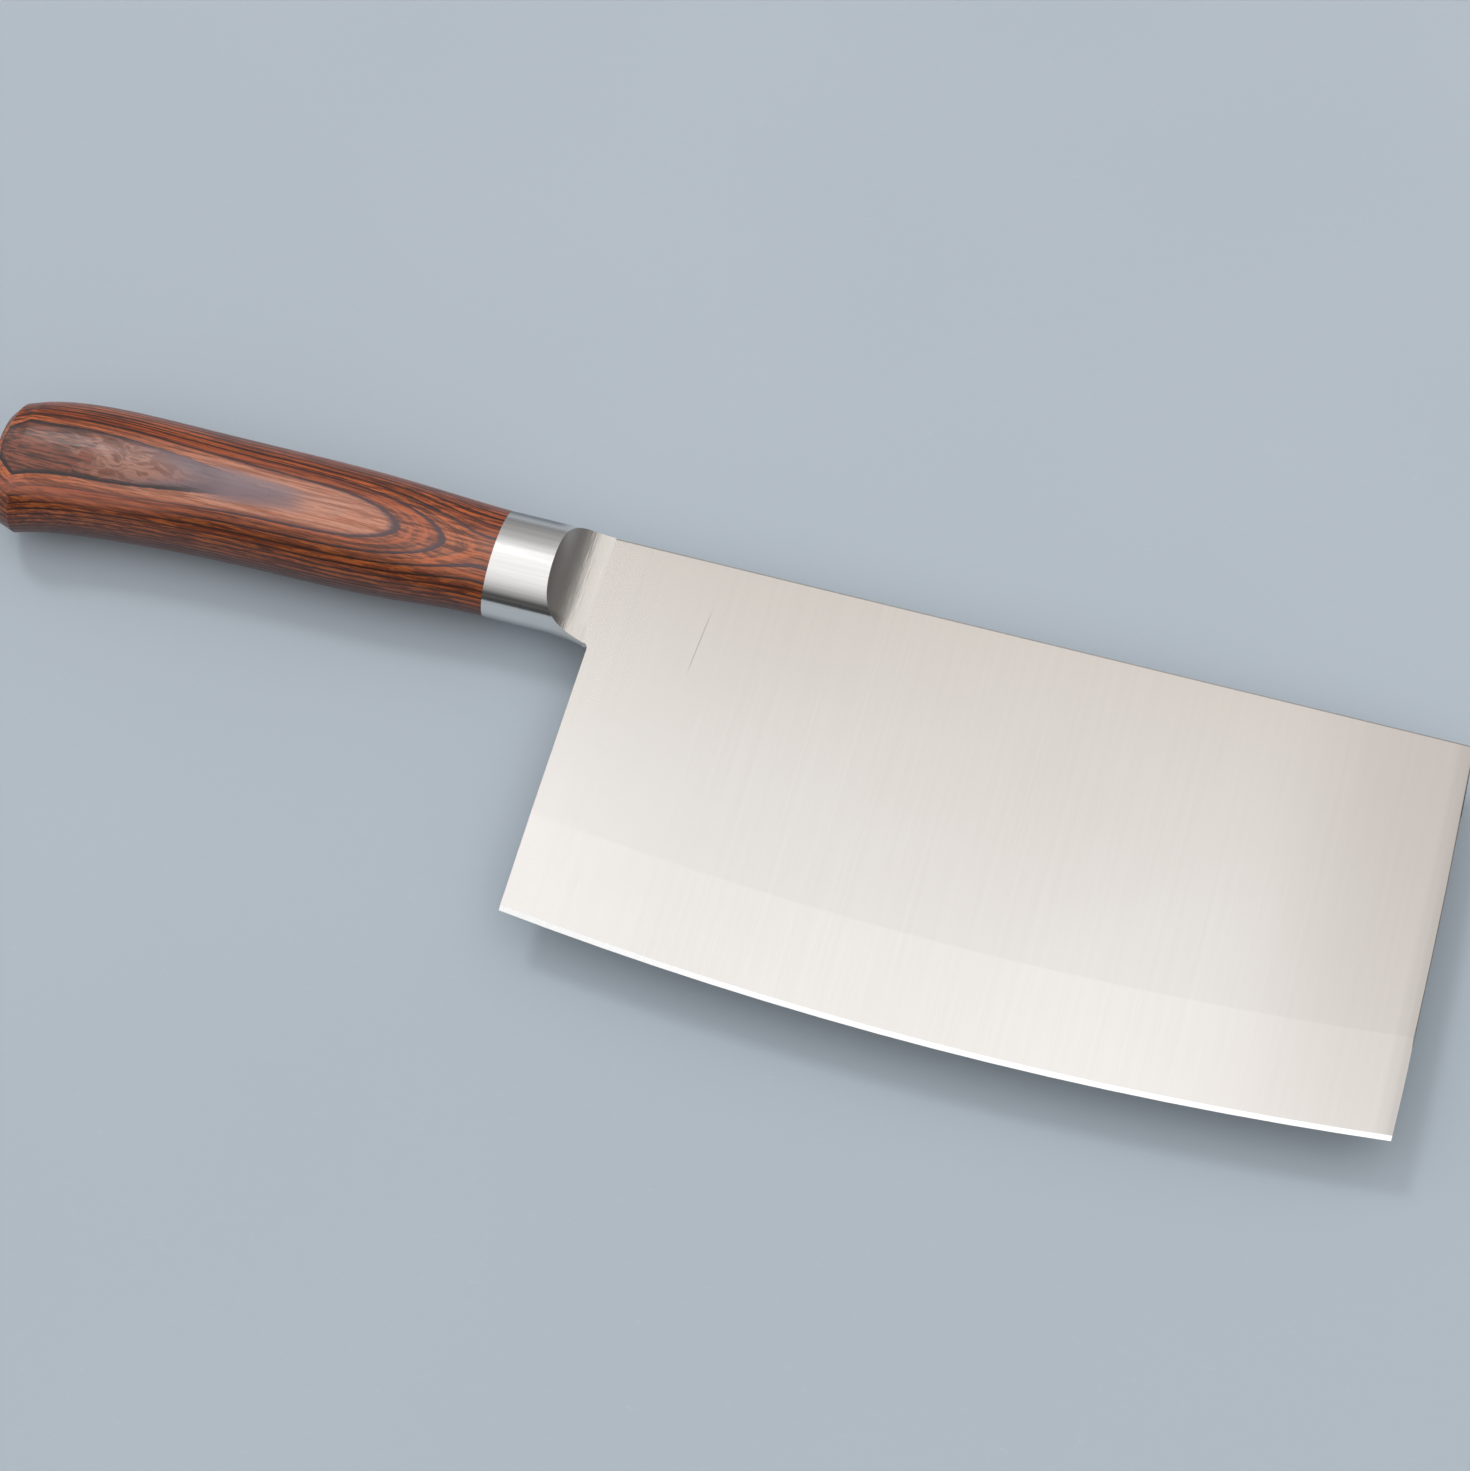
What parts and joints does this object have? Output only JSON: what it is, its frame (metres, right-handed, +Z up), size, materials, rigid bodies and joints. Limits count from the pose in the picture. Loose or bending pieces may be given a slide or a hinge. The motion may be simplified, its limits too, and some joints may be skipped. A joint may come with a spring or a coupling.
{
  "type": "chinese cleaver",
  "caption": "Kitchen cleaver with a broad layered steel blade, a scooped steel bolster and a sculpted handle of laminated wood.",
  "frame": {"origin": "under the middle of the knife's box, on the surface that the knife lies on", "axes": "the knife lies on its side: +X runs from the butt to the blade's tip side, +Y across the blade from the cutting edge to the spine, +Z up out of the blade's upper face"},
  "size_m": [0.311, 0.0931, 0.0249],
  "materials": {
    "cladding_steel": "satin, brushed across the blade",
    "core_steel": "ground and honed at the bevel",
    "bolster_steel": "polished",
    "tang_steel": "plain, hidden",
    "veneer": "resin-filled, satin",
    "adhesive": "plain, hidden"
  },
  "bodies": {
    "root": {"blade_cladding_lower": "cladding_steel", "blade_cladding_upper": "cladding_steel", "blade_core": "core_steel", "bolster": "bolster_steel", "handle_ply_01": "veneer", "handle_ply_02": "veneer", "handle_ply_03": "veneer", "handle_ply_04": "veneer", "handle_ply_05": "veneer", "handle_ply_06": "veneer", "handle_ply_07": "veneer", "handle_ply_08": "veneer", "handle_ply_09": "veneer", "handle_ply_10": "veneer", "handle_ply_11": "veneer", "handle_ply_12": "veneer", "handle_ply_13": "veneer", "handle_ply_14": "veneer", "handle_ply_15": "veneer", "handle_ply_16": "veneer", "handle_ply_17": "veneer", "handle_ply_18": "veneer", "handle_ply_19": "veneer", "handle_ply_20": "veneer", "handle_ply_21": "veneer", "handle_ply_22": "veneer", "handle_ply_23": "veneer", "handle_ply_24": "veneer", "tang": "tang_steel", "tang_adhesive": "adhesive"}
  },
  "joints": []
}
